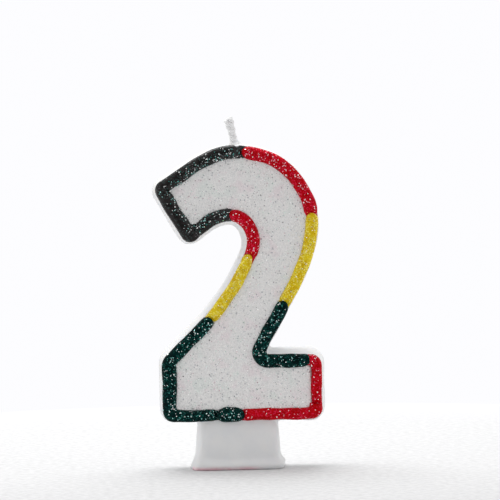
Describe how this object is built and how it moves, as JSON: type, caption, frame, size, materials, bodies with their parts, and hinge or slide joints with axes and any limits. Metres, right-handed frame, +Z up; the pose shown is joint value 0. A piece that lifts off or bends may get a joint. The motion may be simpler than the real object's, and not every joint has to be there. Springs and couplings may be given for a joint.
{
  "type": "number birthday candle",
  "caption": "Wax birthday candle shaped as the numeral two, with a glittered face, a border of piped glitter strokes in black, red, yellow and green, a short wick and a cake peg.",
  "frame": {"origin": "bottom centre of the candle's box, on the surface that the peg stands on", "axes": "+Z up through the numeral, +X to the right of a person reading the numeral, the decorated face looks along -Y"},
  "size_m": [0.0407, 0.0136, 0.0846],
  "materials": {
    "wax": "smooth cast white paraffin wax, soft and slightly translucent, with faint pour marks",
    "waxed_cotton": "braided cotton wick stiffened with wax",
    "glitter_glaze": "thin clear glaze full of fine silver and pearl glitter over the wax",
    "black_glitter": "glossy piped gel, brown-black, with coarse teal and silver glitter",
    "red_glitter": "glossy piped gel, crimson, with coarse pink and silver glitter",
    "yellow_glitter": "glossy piped gel, golden yellow, slightly translucent, with pale glitter",
    "green_glitter": "glossy piped gel, very dark teal green, with coarse silver and cyan glitter"
  },
  "bodies": {
    "root": {"wax_body": "wax", "wick": "waxed_cotton", "glitter_glaze": "glitter_glaze", "black_arc_bead": "black_glitter", "black_end_bead": "black_glitter", "black_inner_bead": "black_glitter", "red_arc_bead": "red_glitter", "red_inner_bead": "red_glitter", "yellow_outer_bead": "yellow_glitter", "yellow_inner_bead": "yellow_glitter", "green_notch_bead": "green_glitter", "green_left_bead": "green_glitter", "green_base_bead": "green_glitter", "red_side_bead": "red_glitter", "red_base_bead": "red_glitter"}
  },
  "joints": []
}
